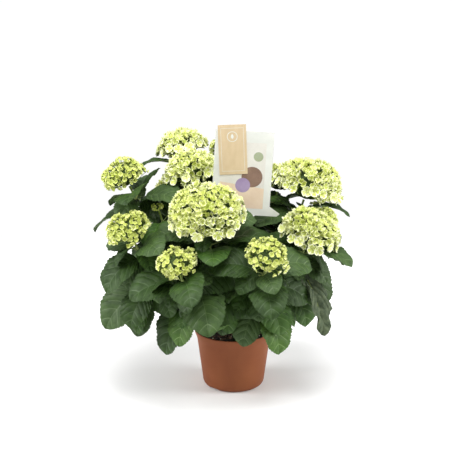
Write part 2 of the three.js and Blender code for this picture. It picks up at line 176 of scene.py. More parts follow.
moulded_plastic = finish_of(
    "moulded_plastic", (122, 69, 43), (135, 80, 50), 9, 900,
    dull=0.62, glossy=0.52, relief=0.05, share=0.25, Specular_IOR_Level=0.2,
)
pot_mesh = mesh_of("pot_moulded", turned(POT_OUTSIDE + POT_INSIDE, POT_AROUND))
pot = place_piece("pot_moulded", pot_mesh, [moulded_plastic], ["pot"], crease=POT_CREASE)
for azimuth in NOTCH["azimuths"]:
    cutter = bmesh.new()
    bmesh.ops.create_cube(cutter, size=1)
    bmesh.ops.scale(cutter, vec=(NOTCH["deep"], NOTCH["width"], 2 * NOTCH["height"]), verts=cutter.verts)
    long_edges = [edge for edge in cutter.edges if edge.verts[0].co.x * edge.verts[1].co.x < 0]
    bmesh.ops.bevel(
        cutter, geom=long_edges, offset=NOTCH["corner"], segments=4, profile=0.5, affect="EDGES", material=-1
    )
    bmesh.ops.translate(cutter, vec=(NOTCH["reach"], 0, 0), verts=cutter.verts)
    turn = Matrix.Rotation(math.radians(azimuth), 3, "Z")
    bmesh.ops.rotate(cutter, cent=(0, 0, 0), matrix=turn, verts=cutter.verts)
    tool = in_scene("notch_cutter", mesh_of("notch_cutter", cutter))
    cut = pot.modifiers.new("notch", "BOOLEAN")
    cut.operation, cut.solver, cut.object = "DIFFERENCE", "EXACT", tool
    notched = bpy.data.meshes.new_from_object(pot.evaluated_get(bpy.context.evaluated_depsgraph_get()))
    pot.modifiers.clear()
    pot.data = notched
    bpy.data.objects.remove(tool)
pot.data.set_sharp_from_angle(angle=math.radians(POT_CREASE))

# ---- Compost -----------------------------------------------------------------------------------------------
# Dark peat compost fills the pot to a finger's breadth under the rim. Its crumbs, bark fibres and a few white
# grains of perlite lie loose on it; the plant's one short trunk and the card's stake stand in it.
COMPOST = {"level": 125, "crown": 3, "edge": 87.2, "rings": 14, "around": 90, "under_crumbs": 0.6}
BED_WALL = [(0, 7.4), (63, 7.4), (69.5, 12), (71.2, 16), (83.6, 110), (85.6, 119), (87.0, 122)]
HUMPS = ((1.5, 0.09), (0.8, 0.35))  # their height, and how closely they follow one another
CRUMB = {"count": 760, "least": 1.4, "most": 4.2, "within": 83, "brown": 0.3, "fibre": 2.2, "white_every": 31}


def seeded(seed):
    """The same run of numbers between 0 and 1 for the same seed, on 32-bit arithmetic."""
    state = seed

    def draw():
        nonlocal state
        state = (state + 0x6D2B79F5) & 0xFFFFFFFF
        mixed = ((state ^ (state >> 15)) * (state | 1)) & 0xFFFFFFFF
        mixed ^= (mixed + (((mixed ^ (mixed >> 7)) * (mixed | 61)) & 0xFFFFFFFF)) & 0xFFFFFFFF
        return ((mixed ^ (mixed >> 14)) & 0xFFFFFFFF) / 2**32

    return draw


def as_arrays(shape):
    """The places, face corners, face sizes and finish numbers of a bmesh, which is then freed."""
    shape.verts.index_update()
    spots = np.array([vertex.co for vertex in shape.verts])
    corners = np.array([vertex.index for face in shape.faces for vertex in face.verts])
    sizes = np.array([len(face.verts) for face in shape.faces])
    finishes = np.array([face.material_index for face in shape.faces])
    shape.free()
    return spots, corners, sizes, finishes


def joined(name, parts):
    """Many small shapes, each as arrays in millimetres, joined into one mesh in metres."""
    firsts = np.cumsum([0] + [len(part[0]) for part in parts[:-1]])
    spots = np.concatenate([part[0] for part in parts]) * MM
    corners = np.concatenate([part[1] + first for part, first in zip(parts, firsts)])
    sizes, finishes = (np.concatenate([part[column] for part in parts]) for column in (2, 3))
    mesh = bpy.data.meshes.new(name)
    mesh.vertices.add(len(spots))
    mesh.vertices.foreach_set("co", spots.ravel())
    mesh.loops.add(len(corners))
    mesh.loops.foreach_set("vertex_index", corners.astype(np.int32))
    mesh.polygons.add(len(sizes))
    mesh.polygons.foreach_set("loop_start", np.r_[0, np.cumsum(sizes)[:-1]].astype(np.int32))
    mesh.polygons.foreach_set("material_index", finishes.astype(np.int32))
    mesh.update(calc_edges=True)
    mesh.validate()
    return mesh


def place_parts(name, parts, finishes, stands_for=(), crease=60):
    """Puts many small shapes in the scene as one named piece of the plant."""
    place_piece(name, joined(name, parts), finishes, stands_for, crease)


def compost_level(radius):
    """How high the compost stands at this distance from the pot's axis."""
    return COMPOST["level"] + COMPOST["crown"] * (1 - radius / COMPOST["edge"])


bed_profile = list(BED_WALL)
for step in range(COMPOST["rings"] + 1):
    radius = COMPOST["edge"] * (1 - step / COMPOST["rings"])
    bed_profile.append((radius, compost_level(radius) - COMPOST["under_crumbs"]))
bed = turned(bed_profile, COMPOST["around"])
for vertex in bed.verts:
    if vertex.co.z > BED_WALL[-1][1] + 1:
        vertex.co.z += sum(height * noise.noise(vertex.co * closeness) for height, closeness in HUMPS)
peat_dark = finish_of(
    "peat_dark", (30, 22, 17), (58, 43, 33), 120, 1400, dull=0.95, glossy=0.85, relief=1.2, share=0.5
)
peat_brown = finish_of("peat_brown", (58, 41, 28), (96, 70, 48), 160, 1300, dull=0.95, glossy=0.8, relief=0.5)
perlite = finish_of(
    "perlite", (190, 185, 172), (226, 222, 212), 300, 1500, dull=0.95, glossy=0.85, relief=0.4
)
place_piece("compost_bed", mesh_of("compost_bed", bed), [peat_dark], ["soil"], crease=80)

draw = seeded(77)
crumb_shape = bmesh.new()
bmesh.ops.create_icosphere(crumb_shape, subdivisions=1, radius=1)
crumb = as_arrays(crumb_shape)
crumbs = []
for number in range(CRUMB["count"]):
    radius, around = CRUMB["within"] * math.sqrt(draw()), math.tau * draw()
    size = CRUMB["least"] + (CRUMB["most"] - CRUMB["least"]) * draw() ** 3
    if number % CRUMB["white_every"] == 0:
        kind = 2
    else:
        kind = 1 if draw() < CRUMB["brown"] else 0
    long = 1 + (CRUMB["fibre"] if kind == 1 else 0.4) * draw()
    turn = Matrix.Rotation(math.tau * draw(), 3, "Z") @ Matrix.Rotation(0.5 * draw(), 3, "X")
    rough = 1 + 0.3 * np.array([[draw() - 0.5] for _ in crumb[0]])
    spots = crumb[0] * rough * (size * long, size, size * (0.5 + 0.3 * draw()))
    place = (radius * math.cos(around), radius * math.sin(around), compost_level(radius) + 0.2 * size)
    crumbs.append((spots @ np.array(turn).T + place, crumb[1], crumb[2], np.full(len(crumb[2]), kind)))
place_parts("compost_crumbs", crumbs, [peat_dark, peat_brown, perlite])

# ---- Trunk and boughs --------------------------------------------------------------------------------------
# One short woody trunk stands on the compost, flared at its root, and eight boughs leave it at three levels.
# All are thin brown bark with lengthwise ridges, swollen rings where old leaves fell, and pairs of dry buds.
TRUNK = {
    "foot": 128.3, "height": 52, "lean": (-3, -4, 0), "flare": 15, "radius": 8.5, "top": 7,
    "sides": 28, "under_ridges": 0.97,
}
BOUGH = {
    "foot": 4.6, "tip": 3.7, "sides": 14,
    "starts": (0.3, 0.6, 0.9), "share": 0.45, "rise": 0.4, "leave": 0.55,
}
BARK_RINGS = 9
DRY_BUDS = {"rings": (12, 21, 30), "out": 4.1, "size": (1.3, 1.3, 2.6)}
SQUASH, BARE_STALK = 0.75, 20  # a head's height by its width, and its free length of stalk
GAP = 0.3  # between a limb and what carries it
UP = np.array((0.0, 0.0, 1.0))

# Each bough has the reach of its low side shoot and its flower heads. A head has the azimuth, reach and
# height of its middle, its width, and the azimuth of the topmost pair of leaves under it.
Head = namedtuple("Head", "azimuth reach height width pair")
BOUGHS = {
    "front": (62, {"front": Head(-108, 200, 479, 172, 4), "low_left": Head(-116, 284, 381, 88, -85)}),
    "front_right": (52, {"low_right": Head(-74, 260, 396, 98, -165)}),
    "right": (60, {"right": Head(-32, 207, 414, 142, -20), "upper_right": Head(7, 179, 492, 170, 175)}),
    "back_right": (75, {
        "back_right": Head(54, 190, 468, 120, 0),
        "low_back_right": Head(34, 258, 375, 98, 50),
    }),
    "upper_back": (70, {"top": Head(97, 111, 560, 98, 20), "back": Head(86, 215, 490, 130, 90)}),
    "back_left": (75, {"back_left": Head(128, 230, 448, 112, 150), "low_back": Head(101, 264, 386, 92, 100)}),
    "upper_left": (90, {
        "middle_left": Head(171, 100, 526, 138, -140),
        "top_left": Head(134, 181, 561, 122, -128),
        "low_back_left": Head(157, 252, 374, 90, 70),
    }),
    "left": (140, {
        "side_left": Head(-148, 282, 427, 106, -60),
        "upper_left": Head(-175, 254, 520, 108, -105),
        "bud": Head(-158, 189, 459, 32, -110),
    }),
}
HEADS = {name: head for _, heads in BOUGHS.values() for name, head in heads.items()}


def unit(vector):
    return vector / np.linalg.norm(vector)


def heading(azimuth):
    return np.array((math.cos(math.radians(azimuth)), math.sin(math.radians(azimuth)), 0.0))


def bezier(control, shares):
    """Places on a Bezier curve of any order."""
    rows = np.repeat(np.asarray(control, float)[:, None], len(shares), axis=1)
    while len(rows) > 1:
        rows = rows[:-1] + (rows[1:] - rows[:-1]) * shares[None, :, None]
    return rows[0]


def along(control, shares):
    """Places and unit directions at these shares of a curve's length."""
    control, steps = np.asarray(control, float), np.linspace(0, 1, 201)
    run = np.r_[0, np.cumsum(np.linalg.norm(np.diff(bezier(control, steps), axis=0), axis=1))]
    at = np.interp(np.atleast_1d(shares) * run[-1], run, steps)
    ways = bezier(np.diff(control, axis=0), at)
    return bezier(control, at), ways / np.linalg.norm(ways, axis=1)[:, None]


def bend(start, out, end, into):
    """A curve that leaves its start along `out` and arrives at its end along `into`."""
    span = np.linalg.norm(end - start)
    return [start, start + out * span * 0.4, end - into * span * 0.35, end]


def only(kind, geometry):
    """The vertices, edges or faces among the geometry that an operator made."""
    return [item for item in geometry if isinstance(item, kind)]


plain_stems = {}


def stem(spots, ways, radii, sides, finish=0, relief=None):
    """A closed limb through these places: a circle extruded ring by ring, then fitted to the curve."""
    steps = len(spots) - 1
    if (sides, steps) not in plain_stems:
        shape = bmesh.new()
        bmesh.ops.create_circle(shape, cap_ends=False, segments=sides, radius=1)
        edges = list(shape.edges)
        for _ in range(steps):
            grown = bmesh.ops.extrude_edge_only(shape, edges=edges)["geom"]
            bmesh.ops.translate(shape, vec=(0, 0, 1), verts=only(bmesh.types.BMVert, grown))
            edges = [edge for edge in only(bmesh.types.BMEdge, grown) if edge.is_boundary]
        bmesh.ops.holes_fill(shape, edges=[edge for edge in shape.edges if edge.is_boundary], sides=0)
        bmesh.ops.recalc_face_normals(shape, faces=shape.faces)
        plain_stems[sides, steps] = as_arrays(shape)
    plan, corners, sizes, _ = plain_stems[sides, steps]
    across = np.empty_like(ways)
    carried = unit(np.cross(ways[0], UP if abs(ways[0][2]) < 0.9 else (1.0, 0.0, 0.0)))
    for step, way in enumerate(ways):
        carried = unit(carried - way * carried.dot(way))
        across[step] = carried
    third = np.cross(ways, across)
    step = np.round(plan[:, 2]).astype(int)
    radius = np.asarray(radii)[step]
    if relief is not None:
        radius = radius * relief(plan, step)
    places = spots[step] + across[step] * (plan[:, 0] * radius)[:, None]
    places = places + third[step] * (plan[:, 1] * radius)[:, None]
    return places, corners, sizes, np.full(len(sizes), finish)


def head_axis(head):
    tilt = math.radians(0.1 * head.reach)
    return heading(head.azimuth) * math.sin(tilt) + UP * math.cos(tilt)


def head_place(head):
    return heading(head.azimuth) * head.reach + UP * head.height


def head_turn(head):
    """The turn from +Z to a head's axis, as a matrix."""
    return np.array(Vector((0, 0, 1)).rotation_difference(Vector(head_axis(head))).to_matrix())


def stalk_drop(head):
    """How far under its middle a head's stalk stands on its shoot."""
    return BARE_STALK + head.width / 2 * SQUASH * 0.6


def shoot_tip(head):
    return head_place(head) - head_axis(head) * stalk_drop(head)


def bark_relief(seed):
    """Lengthwise ridges and swollen rings on a limb, as a factor on its radius."""

    def factor(plan, step):
        ridges = [noise.noise(Vector((x * 2.2, y * 2.2, z * 0.12 + seed))) for x, y, z in plan]
        fine = [noise.noise(Vector((x * 6, y * 6, z * 0.5 + seed))) for x, y, z in plan]
        swollen = np.exp(-(((step - 3) % BARK_RINGS) ** 2) / 1.2) * (step > 2)
        return 1 + 0.09 * np.array(ridges) + 0.05 * np.array(fine) + 0.16 * swollen

    return factor


bark = finish_of(
    "bark", (96, 78, 55), (146, 124, 92), 70, 700, dull=0.9, glossy=0.75, relief=0.8, stretch=(1, 1, 0.35)
)
dry_bud = finish_of("dry_bud", (88, 66, 44), (128, 98, 64), 200, 1200, dull=0.8, glossy=0.6, relief=0.3)
foot = np.array((0, 0, TRUNK["foot"]), float)
trunk_curve = [foot, foot + UP * TRUNK["height"] / 2, foot + TRUNK["lean"] + UP * TRUNK["height"]]
shares = np.linspace(0, 1, 27)
spots, ways = along(trunk_curve, shares)
flare = (TRUNK["flare"] - TRUNK["radius"]) * np.maximum(0, 1 - shares * 4) ** 2
radii = (TRUNK["radius"] + (TRUNK["top"] - TRUNK["radius"]) * shares + flare) * TRUNK["under_ridges"]
trunk = stem(spots, ways, radii, TRUNK["sides"], relief=bark_relief(3))
place_parts("trunk_bark", [trunk], [bark], ["trunk"], crease=75)

bead_shape = bmesh.new()
bmesh.ops.create_uvsphere(bead_shape, u_segments=8, v_segments=6, radius=1)
for vertex in bead_shape.verts:
    pointed = 1 - 0.45 * max(0, vertex.co.z)
    vertex.co.x *= pointed
    vertex.co.y *= pointed
bead = as_arrays(bead_shape)


def set_on(shape, place, way, size, finish=None, spin=0.0):
    """A small shape, drawn along +Z, set down at a place and turned along a way."""
    turn = Vector((0, 0, 1)).rotation_difference(Vector(way)).to_matrix() @ Matrix.Rotation(spin, 3, "Z")
    spots = (shape[0] * size) @ np.array(turn).T + place
    return spots, shape[1], shape[2], shape[3] if finish is None else np.full(len(shape[2]), finish)


bough_curves = {}
for number, (name, (skirt, heads)) in enumerate(BOUGHS.items()):
    middle = sum(shoot_tip(head) for head in heads.values()) / len(heads)
    start = along(trunk_curve, BOUGH["starts"][number % 3])[0][0]
    tip = middle * BOUGH["share"]
    tip[2] = start[2] + (middle[2] - start[2]) * BOUGH["rise"]
    leave = unit(unit(middle * (1, 1, 0)) + UP * BOUGH["leave"])
    bough_curves[name] = bend(start, leave, tip, unit(middle - tip))
    shares = np.linspace(0.02, 1, 37)
    spots, ways = along(bough_curves[name], shares)
    radii = BOUGH["foot"] + (BOUGH["tip"] - BOUGH["foot"]) * shares
    parts = [stem(spots, ways, radii, BOUGH["sides"], relief=bark_relief(number * 9))]
    for ring in DRY_BUDS["rings"]:
        for half in (1, -1):
            out = unit(np.cross(ways[ring], heading(ring * 30))) * half
            place = spots[ring] + out * DRY_BUDS["out"]
            parts.append(set_on(bead, place, unit(out + ways[ring] * 0.9), DRY_BUDS["size"], 1))
    place_parts(f"bough_bark_{name}", parts, [bark, dry_bud], [f"bough_{name}"], crease=75)

# ---- Flowering shoots --------------------------------------------------------------------------------------
# Green shoots of the year grow on from each bough's tip, one for each flower head, and a low one that hangs
# its leaves over the rim. They are fleshy stems with dark specks, a little swollen at each pair of leaves.
SHOOT = {"foot": 3.4, "tip": 2.4, "fork": 6, "thinner": 0.3, "sides": 9, "steps": 30, "woody_steps": 8}
SWELLING = {"height": 0.22, "length": 0.022}
# Each pair of leaves has its share of the way up the shoot, its leaves' length, and how they rise and fall.
LEAF_LEVELS = (
    (0.95, 104, 36, -34), (0.76, 116, 26, -48), (0.56, 122, 12, -58), (0.36, 116, 0, -68),
    (0.15, 106, -12, -80),
)
SKIRT = {"lift": 10, "turn": 24, "levels": ((0.95, 98, 0, -82), (0.5, 98, 0, -82))}

shoot_green = finish_of(
    "shoot_green", (104, 122, 62), (146, 160, 92), 90, 900, dull=0.6, glossy=0.45, relief=0.15
)
shoot_base = finish_of(
    "shoot_base", (112, 104, 66), (140, 132, 88), 90, 900, dull=0.75, glossy=0.6, relief=0.25
)
shoots, twigs = {}, {}
for number, (name, (skirt, heads)) in enumerate(BOUGHS.items()):
    tips, ways = along(bough_curves[name], 1.0)
    onward, foot = ways[0], tips[0] + ways[0] * GAP
    shoots[name] = []
    for order, (title, head) in enumerate(heads.items()):
        curve = bend(foot + onward * SHOOT["fork"] * order, onward, shoot_tip(head), head_axis(head))
        shoots[name].append({"name": title, "curve": curve, "pair": head.pair, "levels": LEAF_LEVELS})
    turn = math.radians((1 if number % 2 else -1) * SKIRT["turn"])
    flat = unit(onward * (1, 1, 0))
    side = flat * math.cos(turn) + np.cross(UP, flat) * math.sin(turn)
    low_tip = foot + side * skirt + UP * SKIRT["lift"]
    curve = bend(foot + onward * SHOOT["fork"] * len(heads), onward, low_tip, side)
    pair = math.degrees(math.atan2(side[1], side[0]))
    shoots[name].append({"name": "skirt", "curve": curve, "pair": pair, "levels": SKIRT["levels"]})
    twigs[name] = []
    for order, shoot in enumerate(shoots[name]):
        shares = np.linspace(0, 1, SHOOT["steps"] + 1)
        spots, ways = along(shoot["curve"], shares)
        if order == 0:
            spots[0] -= ways[0] * 2.5
        thinner = SHOOT["thinner"] * order
        radii = SHOOT["foot"] - thinner + (SHOOT["tip"] - SHOOT["foot"] + thinner) * shares
        for place, *_ in shoot["levels"]:
            swollen = np.exp(-(((shares - place) / SWELLING["length"]) ** 2))
            radii = radii * (1 + SWELLING["height"] * swollen)
        part = stem(spots, ways, radii, SHOOT["sides"])
        woody_faces = SHOOT["sides"] * SHOOT["woody_steps"]
        woody = np.repeat([1, 0], [woody_faces, len(part[2]) - woody_faces])
        twigs[name].append((*part[:3], woody))

# ---- Flower heads ------------------------------------------------------------------------------------------
# Each mophead is a dome of sterile florets on a branching green stalk. A floret has four broad papery sepals,
# lime green with a cream edge, round a small bead; the lowest ones on a wide head open into round bowls.
# How far down in degrees a head's florets reach, their pitch and size, how deep they sink, how many share a
# branch, how uneven the branches' ends are, and the core's depth under the florets or its share of the head.
HEAD_KINDS = {
    "wide": {
        "reach": 108, "pitch": 12.2, "size": 9.4, "sunk": 4.5,
        "branch": 12, "uneven": (0.09, 0.62), "under": 22,
    },
    "small": {
        "reach": 108, "pitch": 9.5, "size": 6.1, "sunk": 3.0,
        "branch": 8, "uneven": (0.24, 0.4), "under": 18,
    },
    "bud": {
        "reach": 112, "pitch": 5.6, "size": 2.9, "sunk": 3.0,
        "branch": 8, "uneven": (0.24, 0.4), "core": 0.74,
    },
}
WIDE_FROM, RAGGED_TO = 110, 100  # widths of head
BOWL = {"pitch": 25, "size": 10.5, "grows": 3, "from": 88, "to": 106, "inside": 5}
GOLDEN_ANGLE = 137.508
PARTING = {"width": 0.09, "gap": 8}  # the furrows between a head's branches
PETAL_COLUMNS = (-1, -0.64, 0.64, 1)
OPEN_ROWS = ((0.08, 0.1), (0.4, 0.46), (0.78, 0.56), (1.0, 0.34))
ROUND_ROWS = ((0.08, 0.1), (0.45, 0.5), (0.8, 0.58), (1.0, 0.34))
PETAL_THICK = 0.035


def sepals(seed, lift, spread, breadth, cup, ruffle, uneven, rows):
    """Four thin sepals in two crossed pairs round a bead, each a closed shape two skins thick."""
    draw = seeded(seed)
    whole = bmesh.new()
    columns, last_column, last_row = PETAL_COLUMNS, len(PETAL_COLUMNS) - 1, len(rows) - 1
    for number in range(4):
        petal = bmesh.new()
        bmesh.ops.create_grid(petal, x_segments=last_column, y_segments=last_row, size=0.5)
        for face in petal.faces:
            middle = face.calc_center_median()
            face.material_index = 0 if abs(middle.x) < 0.2 and middle.y < 0.5 - 1 / last_row else 1
        skin = bmesh.ops.duplicate(petal, geom=petal.verts[:] + petal.edges[:] + petal.faces[:])["geom"]
        lower = set(only(bmesh.types.BMVert, skin))
        bmesh.ops.reverse_faces(petal, faces=only(bmesh.types.BMFace, skin))
        waves = [[draw() - 0.5 for _ in columns] for _ in rows]
        grown, steep = 1 + uneven * (draw() - 0.5), lift * (1 + 2.4 * uneven * (draw() - 0.5))
        for vertex in petal.verts:
            column = round((vertex.co.x + 0.5) * last_column)
            row = round((vertex.co.y + 0.5) * last_row)
            across, (reach, half) = columns[column], rows[row]
            rim = row in (0, last_row) or column in (0, last_column)
            out = (reach * grown - (0.09 * abs(across) if row == last_row else 0)) * spread
            rise = steep * reach**1.7 + cup * across**2 * half + ruffle * waves[row][column] * reach
            thick = 0 if rim else (-PETAL_THICK if vertex in lower else PETAL_THICK)
            vertex.co = (out, across * half * breadth, rise + thick + 0.05 * (number % 2))
        bmesh.ops.remove_doubles(petal, verts=petal.verts, dist=1e-5)
        turn = Matrix.Rotation(math.radians(90 * number + 10 * draw()), 3, "Z")
        bmesh.ops.rotate(petal, cent=(0, 0, 0), matrix=turn, verts=petal.verts)
        mesh = bpy.data.meshes.new("sepal")
        petal.to_mesh(mesh)
        petal.free()
        whole.from_mesh(mesh)
        bpy.data.meshes.remove(mesh)
    over = Matrix.Translation((0, 0, 0.12))
    eye = bmesh.ops.create_uvsphere(whole, u_segments=5, v_segments=3, radius=0.13, matrix=over)["verts"]
    for face in {face for vertex in eye for face in vertex.link_faces}:
        face.material_index = 2
    return as_arrays(whole)


OPEN_FLORET = {"breadth": 0.86, "cup": 0.75, "ruffle": 0.34, "uneven": 0.5, "rows": OPEN_ROWS}
BOWL_FLORET = {"breadth": 1.0, "cup": 0.34, "ruffle": 0.16, "uneven": 0.12, "rows": ROUND_ROWS}
SMALL_FLORET = {"breadth": 0.95, "cup": 0.6, "ruffle": 0.14, "uneven": 0.3, "rows": ROUND_ROWS}
open_florets = [sepals(10 + n, 0.5 + 0.09 * n, 0.96 - 0.04 * n, **OPEN_FLORET) for n in range(8)]
bowl_florets = [sepals(30 + n, 0.42, 0.97, **BOWL_FLORET) for n in range(4)]
small_florets = [sepals(50 + n, 0.45 + 0.14 * n, 0.97 - 0.05 * n, **SMALL_FLORET) for n in range(6)]

PETAL_TONES = {
    "lime": ((178, 190, 88), (210, 218, 122)),
    "cream": ((230, 235, 166), (246, 248, 204)),
    "fresh": ((164, 180, 74), (196, 208, 102)),
    "soft": ((208, 216, 126), (228, 233, 156)),
    "pale": ((236, 240, 192), (249, 250, 224)),
}
petals = [
    finish_of(f"petal_{tone}", *tones, 120, 1100, dull=0.7, glossy=0.55, relief=0.2, Specular_IOR_Level=0.3)
    for tone, tones in PETAL_TONES.items()
]
floret_bead = finish_of(
    "floret_bead", (196, 206, 104), (220, 226, 140), 300, 1500, dull=0.5, glossy=0.4, relief=0.1
)
corymb_green = finish_of(
    "corymb_green", (96, 118, 44), (138, 158, 70), 200, 1200, dull=0.7, glossy=0.55, relief=0.3
)
# The core's finish is the stalks' green darkened into painted shade, for the shade deep between the florets.
corymb_painted_shade = finish_of(
    "corymb_painted_shade", (34, 50, 20), (70, 92, 36), 260, 1200, dull=0.8, glossy=0.65, relief=0.6
)
BLOSSOM_FINISHES = [*petals[:2], floret_bead, *petals[2:]]
LIME, CREAM, BEAD, FRESH, SOFT, PALE = range(6)  # places in that list
SOFTER = {CREAM: SOFT, PALE: CREAM}

core_shape = bmesh.new()
bmesh.ops.create_icosphere(core_shape, subdivisions=4, radius=1)
for vertex in core_shape.verts:
    if vertex.co.z < 0:
        vertex.co.z *= 0.75
        narrower = 1 - 0.5 * abs(vertex.co.z)
        vertex.co.x *= narrower
        vertex.co.y *= narrower
core = as_arrays(core_shape)


def on_ball(tilt, around):
    """A place on a ball of radius 1, `tilt` down from its top and `around` its axis."""
    return np.array((math.sin(tilt) * math.cos(around), math.sin(tilt) * math.sin(around), math.cos(tilt)))


def petal_colours(tint, on_crown, wide):
    """The finishes of a floret's middle, edge and bead: greener on the crown, and softer on a small head."""
    if on_crown:
        steps = ((0.2, (FRESH, SOFT)), (0.45, (LIME, SOFT)), (0.75, (LIME, CREAM)), (2, (SOFT, CREAM)))
    else:
        steps = ((0.25, (FRESH, CREAM)), (0.6, (LIME, CREAM)), (2, (LIME, PALE)))
    middle, edge = next(colours for most, colours in steps if tint < most)
    return np.array((middle, edge if wide else SOFTER.get(edge, edge), BEAD))


def set_floret(shape, spot, face_way, size, spin, colours, tip):
    """Adds a floret to the head in hand, and the short stalk that it faces out from."""
    florets.append((*set_on(shape, spot, face_way, size, spin=spin)[:3], colours[shape[3]]))
    start = fork + (spot - fork) * 0.55
    run = np.array((start, spot - face_way * 0.2))
    corymb.append(stem(run, np.array((unit(spot - start),) * 2), (0.9, tip), 3))


for name, head in HEADS.items():
    draw = seeded(500 + round(head.azimuth))
    wide, ragged = head.width > WIDE_FROM, head.width < RAGGED_TO
    kind = HEAD_KINDS["bud" if name == "bud" else "wide" if wide else "small"]
    radius, height = head.width / 2, head.width / 2 * SQUASH
    axis, middle, turn = head_axis(head), head_place(head), head_turn(head)
    stalk_foot, fork = middle - axis * (stalk_drop(head) + 1), middle - axis * height * 0.62
    shares = np.linspace(0, 1, 9)[:, None]
    stalk_run = stalk_foot + (fork - stalk_foot) * shares
    corymb = [stem(stalk_run, np.repeat(axis[None], 9, axis=0), 2.4 + 0.5 * shares[:, 0] ** 3, 8)]
    florets = []

    # A knobbly core of crowded stalks fills the dome, so that no light falls through it, in green darkened as
    # painted shade.
    knobs = 0 if "core" in kind else 0.1
    lumps = np.array([1 + knobs * noise.noise(Vector(spot) * (radius / 11)) for spot in core[0]])
    share = kind["core"] if "core" in kind else 1 - kind["under"] / radius
    shrunk = core[0] * lumps[:, None] * (radius * share, radius * share, height * share)
    corymb.append((middle + shrunk @ turn.T, core[1], core[2], np.full(len(core[2]), 1)))

    # Branches spread evenly over the dome, and each lifts its own cluster of florets a little.
    low = 1 - math.cos(math.radians(kind["reach"]))
    count = round(math.tau * radius * (radius + height) / 2 * low / kind["pitch"] ** 2)
    branches = max(5, round(count / kind["branch"]))
    branch_ways = []
    for number in range(branches):
        tilt = math.acos(1 - low * (number + 0.3 + 0.4 * draw()) / branches)
        around = math.radians(GOLDEN_ANGLE * number) + 0.5 * draw()
        branch_ways.append(on_ball(tilt, around))
    branch_ways = np.array(branch_ways)
    uneven, sunken = kind["uneven"]
    branch_rise = [radius * (uneven * (draw() - sunken)) for _ in branch_ways]
    branch_tint = [draw() for _ in branch_ways]

    # Florets stand in a spiral, sunk into the furrows between branches, and some are missing low down.
    for number in range(count):
        tilt = math.acos(1 - low * (number + 0.5) / count)
        missed, place = draw(), on_ball(tilt, math.radians(GOLDEN_ANGLE * number))
        nearness = branch_ways @ place
        nearest, second = np.argsort(-nearness)[:2]
        parting = max(0.0, 1 - (nearness[nearest] - nearness[second]) / PARTING["width"])
        crowded = 0.4 * (tilt > 1.5)
        split = (0.4 * (tilt > 0.7) if ragged else 0.14 * (tilt > 0.9)) * (parting > 0.66)
        if missed < (0.07 if ragged else 0.02) + crowded + split and name != "bud":
            continue
        open_up = min(1.0, 0.35 + 0.5 * tilt)
        sunk = kind["sunk"] * draw() ** 1.5 + PARTING["gap"] * parting * (0.3 + 0.7 * draw()) * open_up
        out = unit(place / (radius, radius, height))
        grown = kind["size"] * (0.78 + 0.4 * draw()) * (0.9 + 0.1 * tilt)
        shapes = open_florets if wide else small_florets
        shape = shapes[int(draw() * len(shapes))]
        inset = grown * shape[0][:, 2].max() * 0.9 + sunk - branch_rise[nearest]
        lean = np.array((draw() - 0.5, draw() - 0.5, draw() - 0.5)) * 1.1
        face_way = unit(turn @ unit(out + lean))
        spot = middle + turn @ (place * (radius - inset, radius - inset, height - inset))
        if name == "bud":
            size = kind["size"] * (0.8 + 0.3 * draw())
            florets.append(set_on(bead, spot, face_way, size, FRESH if number % 3 else SOFT))
            continue
        tint = 0.6 * draw() + 0.4 * branch_tint[nearest]
        colours = petal_colours(tint, tilt < 0.7 + 0.6 * draw(), wide)
        set_floret(shape, spot, face_way, grown, math.tau * draw(), colours, 0.55)

    # Round the foot of a wide head hang the largest florets, open like bowls.
    for number in range(round(math.tau * radius / BOWL["pitch"]) if wide else 0):
        kept, tilt = draw() > 0.12, math.radians(BOWL["from"] + (BOWL["to"] - BOWL["from"]) * draw())
        around = math.tau * (number + 0.6 * draw()) * BOWL["pitch"] / math.tau / radius
        level = np.array((math.cos(around), math.sin(around), 0))
        lean = np.array((draw() - 0.5, draw() - 0.5, 0.7 * draw())) * 0.6
        outward, upward = level * math.sin(tilt) * (radius - BOWL["inside"]), UP * math.cos(tilt) * height
        spot = middle + turn @ (outward + upward)
        shape = bowl_florets[int(draw() * len(bowl_florets))]
        face_way = unit(turn @ unit(level + lean))
        grown, spin = BOWL["size"] + BOWL["grows"] * draw(), math.tau * draw()
        if kept:
            colours = np.array((SOFT if number % 3 == 0 else LIME, PALE, BEAD))
            set_floret(shape, spot, face_way, grown, spin, colours, 0.6)
    place_parts(f"blossom_{name}", florets, BLOSSOM_FINISHES, [f"flower_head_{name}"])
    place_parts(f"corymb_{name}", corymb, [corymb_green, corymb_painted_shade])

# ---- Leaves ------------------------------------------------------------------------------------------------
# Opposite leaves in pairs, each pair square to the one above it. A blade is broad and toothed, puckered
# between its eight pairs of side veins, and hangs from a fleshy stalk that runs on under it as the midrib.
# A leaf that would touch a limb, a flower or another leaf tries a few places round, or isn't grown.
SEED = 2024
LEAF = {
    "aspect": 0.8, "thick": 1.5, "fold": 0.14, "stalk": 24, "stalk_radius": 1.9, "follow": 0.4,
    "roll_follow": 0.85, "roll": 12, "wander": 14, "lift": 8, "sizes": 0.1, "steepest": -88, "room": 0.8,
}
WAYS_ROUND = [
    (turn, lift, 1 if turn == lift == 0 else 0.92)
    for turn in (0, 16, -16, 32, -32, 48, -48)
    for lift in (0, -14, 14, -28)
]
SIDE_VEINS = (0.13, 0.23, 0.34, 0.46, 0.58, 0.7, 0.81, 0.91)
USUAL = 120  # the length of leaf that these small measures are given for
BLADE = {"tooth": 0.915, "hollow": 0.55, "pucker": 2.7, "wave": 2.2, "waves": 19, "skin": 0.45, "crinkle": 9}

# The bumps of the plain flower heads are drawn before the leaves, so as many numbers are passed over here.
draw = seeded(SEED)
for head in HEADS.values():
    for _ in range(max(7, int(head.width / 11 + 0.5)) * max(4, int(head.width / 22 + 0.5)) + 1):
        draw()


def spread(most):
    return (draw() * 2 - 1) * most


